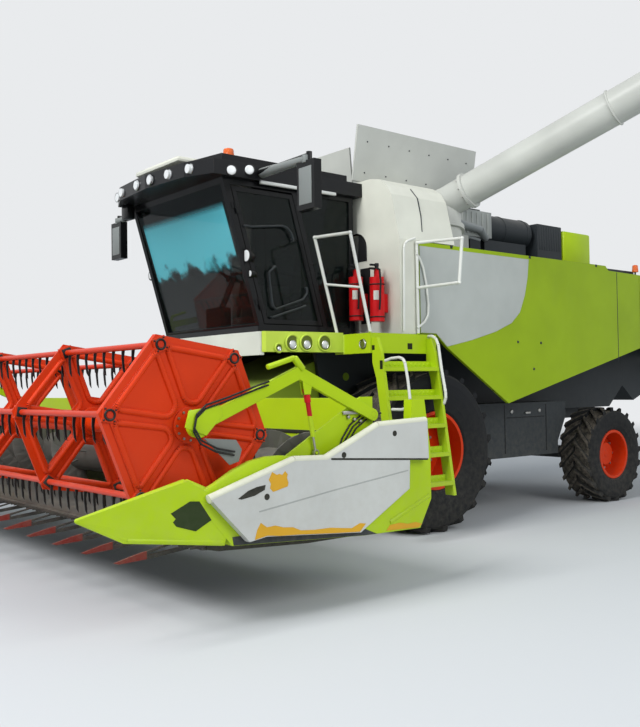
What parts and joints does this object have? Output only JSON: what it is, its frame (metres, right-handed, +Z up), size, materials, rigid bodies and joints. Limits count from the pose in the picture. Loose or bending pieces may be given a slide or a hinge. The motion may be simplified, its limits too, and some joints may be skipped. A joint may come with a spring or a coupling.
{
  "type": "combine harvester",
  "caption": "Two-axle combine harvester with a cab, a grain tank with raised flaps, a swinging unloading auger and a wide grain header under a turning tined reel.",
  "frame": {"origin": "on the ground under the middle of the front axle", "axes": "+X to the left of the machine, +Y to its rear, +Z up"},
  "size_m": [9.4951, 11.0939, 5.7905],
  "materials": {
    "dark_paint": "satin",
    "cast": "rough cast",
    "cream_paint": "gloss",
    "pale_paint": "gloss",
    "green_paint": "gloss",
    "orange_paint": "gloss",
    "black_paint": "satin",
    "red_paint": "gloss",
    "steel": "worn bright",
    "tyre": "dusty",
    "roof_plastic": "gloss",
    "inner_plastic": "grained",
    "lamp": "clear",
    "glass": "tinted"
  },
  "bodies": {
    "machine": {"chassis": "dark_paint", "front_axle": "dark_paint", "rear_axle": "dark_paint", "threshing_housing": "dark_paint", "side_lockers": "dark_paint", "upper_frame": "dark_paint", "grain_tank": "cream_paint", "tank_front": "cream_paint", "auger_turret": "cream_paint", "engine_block": "cast", "engine_deck": "dark_paint", "rear_hood": "green_paint", "straw_chopper": "dark_paint", "cab_base": "dark_paint", "fascia": "green_paint", "cab_shell": "black_paint", "cab_glass": "glass", "cab_roof": "roof_plastic", "cab_interior": "inner_plastic", "cab_lamps": "lamp", "mirrors": "black_paint", "ladder": "green_paint", "fire_extinguishers": "red_paint"},
    "unloading_tube": {"unloading_auger": "cream_paint"},
    "cab_door": {"cab_door": "black_paint", "door_glass": "glass"},
    "side_panel_left": {"side_panel_left": "green_paint"},
    "side_panel_right": {"side_panel_right": "green_paint"},
    "flap_left": {"flap_left": "cream_paint"},
    "flap_right": {"flap_right": "cream_paint"},
    "board_front": {"board_front": "cream_paint"},
    "board_rear": {"board_rear": "cream_paint"},
    "knuckle_left": {"knuckle_left": "dark_paint"},
    "knuckle_right": {"knuckle_right": "dark_paint"},
    "wheel_front_left": {"rim_front_left": "orange_paint", "tyre_front_left": "tyre"},
    "wheel_front_right": {"rim_front_right": "orange_paint", "tyre_front_right": "tyre"},
    "wheel_rear_left": {"rim_rear_left": "orange_paint", "tyre_rear_left": "tyre"},
    "wheel_rear_right": {"rim_rear_right": "orange_paint", "tyre_rear_right": "tyre"},
    "header": {"feeder_house": "green_paint", "header_frame": "green_paint", "header_ends": "green_paint", "header_covers": "pale_paint", "cutterbar": "dark_paint"},
    "intake_auger": {"intake_auger": "steel"},
    "reel_arms": {"reel_arms": "green_paint"},
    "reel": {"reel": "orange_paint"},
    "tine_bar_1": {"tine_bar_1": "dark_paint"},
    "tine_bar_2": {"tine_bar_2": "dark_paint"},
    "tine_bar_3": {"tine_bar_3": "dark_paint"},
    "tine_bar_4": {"tine_bar_4": "dark_paint"},
    "tine_bar_5": {"tine_bar_5": "dark_paint"},
    "tine_bar_6": {"tine_bar_6": "dark_paint"},
    "ram_barrels": {"ram_barrels": "dark_paint"},
    "ram_rods": {"ram_rods": "steel"},
    "lift_barrels": {"lift_barrels": "dark_paint"},
    "lift_rods": {"lift_rods": "steel"}
  },
  "joints": [
    {"name": "front_wheel_left", "type": "hinge", "parent": "machine", "child": "wheel_front_left", "pos_m": [1.29, 0, 0.895], "axis": [1, 0, 0], "continuous": true},
    {"name": "front_wheel_right", "type": "hinge", "parent": "machine", "child": "wheel_front_right", "pos_m": [-1.29, 0, 0.895], "axis": [1, 0, 0], "continuous": true},
    {"name": "steer_left", "type": "hinge", "parent": "machine", "child": "knuckle_left", "pos_m": [1, 3.57, 0.635], "axis": [0, 0, 1], "range_deg": [-35, 35]},
    {"name": "steer_right", "type": "hinge", "parent": "machine", "child": "knuckle_right", "pos_m": [-1, 3.57, 0.635], "axis": [0, 0, 1], "range_deg": [-35, 35]},
    {"name": "rear_wheel_left", "type": "hinge", "parent": "knuckle_left", "child": "wheel_rear_left", "pos_m": [1.32, 3.57, 0.635], "axis": [1, 0, 0], "continuous": true},
    {"name": "rear_wheel_right", "type": "hinge", "parent": "knuckle_right", "child": "wheel_rear_right", "pos_m": [-1.32, 3.57, 0.635], "axis": [1, 0, 0], "continuous": true},
    {"name": "header_lift", "type": "hinge", "parent": "machine", "child": "header", "pos_m": [0, -0.55, 1.72], "axis": [-1, 0, 0], "range_deg": [-7, 10]},
    {"name": "lift_barrel", "type": "hinge", "parent": "machine", "child": "lift_barrels", "pos_m": [0, -0.28, 0.72], "axis": [-1, 0, 0], "range_deg": [-5.54, 7.91]},
    {"name": "lift_rod", "type": "slide", "parent": "lift_barrels", "child": "lift_rods", "axis": [0, -0.9976, 0.0699], "range_m": [-0.1212, 0.1731]},
    {"name": "auger_turn", "type": "hinge", "parent": "header", "child": "intake_auger", "pos_m": [0, -2.98, 0.95], "axis": [1, 0, 0], "continuous": true},
    {"name": "reel_lift", "type": "hinge", "parent": "header", "child": "reel_arms", "pos_m": [0, -2.47, 1.39], "axis": [-1, 0, 0], "range_deg": [0, 24]},
    {"name": "ram_barrel", "type": "hinge", "parent": "reel_arms", "child": "ram_barrels", "pos_m": [0, -3.11, 1.585], "axis": [-1, 0, 0], "range_deg": [-9.54, 0]},
    {"name": "ram_rod", "type": "slide", "parent": "ram_barrels", "child": "ram_rods", "axis": [0, 0.1732, -0.9849], "range_m": [-0.0001, 0.245]},
    {"name": "reel_turn", "type": "hinge", "parent": "reel_arms", "child": "reel", "pos_m": [0, -4.018, 1.368], "axis": [1, 0, 0], "continuous": true},
    {"name": "tine_bar_turn_1", "type": "hinge", "parent": "reel", "child": "tine_bar_1", "pos_m": [0, -4.22796, 1.90652], "axis": [1, 0, 0], "continuous": true},
    {"name": "tine_bar_turn_2", "type": "hinge", "parent": "reel", "child": "tine_bar_2", "pos_m": [0, -3.65661, 1.81909], "axis": [1, 0, 0], "continuous": true},
    {"name": "tine_bar_turn_3", "type": "hinge", "parent": "reel", "child": "tine_bar_3", "pos_m": [0, -3.44665, 1.28057], "axis": [1, 0, 0], "continuous": true},
    {"name": "tine_bar_turn_4", "type": "hinge", "parent": "reel", "child": "tine_bar_4", "pos_m": [0, -3.80804, 0.82948], "axis": [1, 0, 0], "continuous": true},
    {"name": "tine_bar_turn_5", "type": "hinge", "parent": "reel", "child": "tine_bar_5", "pos_m": [0, -4.37939, 0.91691], "axis": [1, 0, 0], "continuous": true},
    {"name": "tine_bar_turn_6", "type": "hinge", "parent": "reel", "child": "tine_bar_6", "pos_m": [0, -4.58935, 1.45543], "axis": [1, 0, 0], "continuous": true},
    {"name": "unloader_swing", "type": "hinge", "parent": "machine", "child": "unloading_tube", "pos_m": [1.15, 0.72, 3.765], "axis": [-0.1847, 0.1458, 0.9719], "range_deg": [-26, 75]},
    {"name": "door_swing", "type": "hinge", "parent": "machine", "child": "cab_door", "pos_m": [0.9743, -1.79, 2.26], "axis": [0, 0.2747, -0.9615], "range_deg": [0, 80]},
    {"name": "panel_left_lift", "type": "hinge", "parent": "machine", "child": "side_panel_left", "pos_m": [1.618, 1.9, 3.158], "axis": [0, -1, 0], "range_deg": [0, 80]},
    {"name": "panel_right_lift", "type": "hinge", "parent": "machine", "child": "side_panel_right", "pos_m": [-1.618, 1.9, 3.158], "axis": [0, 1, 0], "range_deg": [0, 80]},
    {"name": "flap_left_fold", "type": "hinge", "parent": "machine", "child": "flap_left", "pos_m": [0.93, 0.445, 3.925], "axis": [0, -1, 0], "range_deg": [0, 88]},
    {"name": "flap_right_fold", "type": "hinge", "parent": "machine", "child": "flap_right", "pos_m": [-0.93, 0.445, 3.925], "axis": [0, 1, 0], "range_deg": [0, 88]},
    {"name": "board_front_fold", "type": "hinge", "parent": "machine", "child": "board_front", "pos_m": [0, -0.4, 3.925], "axis": [-1, 0, 0], "range_deg": [0, 150]},
    {"name": "board_rear_fold", "type": "hinge", "parent": "machine", "child": "board_rear", "pos_m": [0, 1.39, 3.925], "axis": [1, 0, 0], "range_deg": [0, 150]}
  ],
  "couplings": [
    {"joint": "steer_right", "follows": "steer_left", "ratio": 1},
    {"joint": "lift_barrel", "follows": "header_lift", "ratio": 0.7752},
    {"joint": "lift_rod", "follows": "header_lift", "m_per_rad": 0.972},
    {"joint": "ram_barrel", "follows": "reel_lift", "ratio": -0.3898},
    {"joint": "ram_rod", "follows": "reel_lift", "m_per_rad": 0.5733},
    {"joint": "flap_right_fold", "follows": "flap_left_fold", "ratio": 1},
    {"joint": "board_front_fold", "follows": "flap_left_fold", "ratio": 1.7},
    {"joint": "board_rear_fold", "follows": "flap_left_fold", "ratio": 1.7},
    {"joint": "tine_bar_turn_1", "follows": "reel_turn", "ratio": -1},
    {"joint": "tine_bar_turn_2", "follows": "reel_turn", "ratio": -1},
    {"joint": "tine_bar_turn_3", "follows": "reel_turn", "ratio": -1},
    {"joint": "tine_bar_turn_4", "follows": "reel_turn", "ratio": -1},
    {"joint": "tine_bar_turn_5", "follows": "reel_turn", "ratio": -1},
    {"joint": "tine_bar_turn_6", "follows": "reel_turn", "ratio": -1}
  ]
}
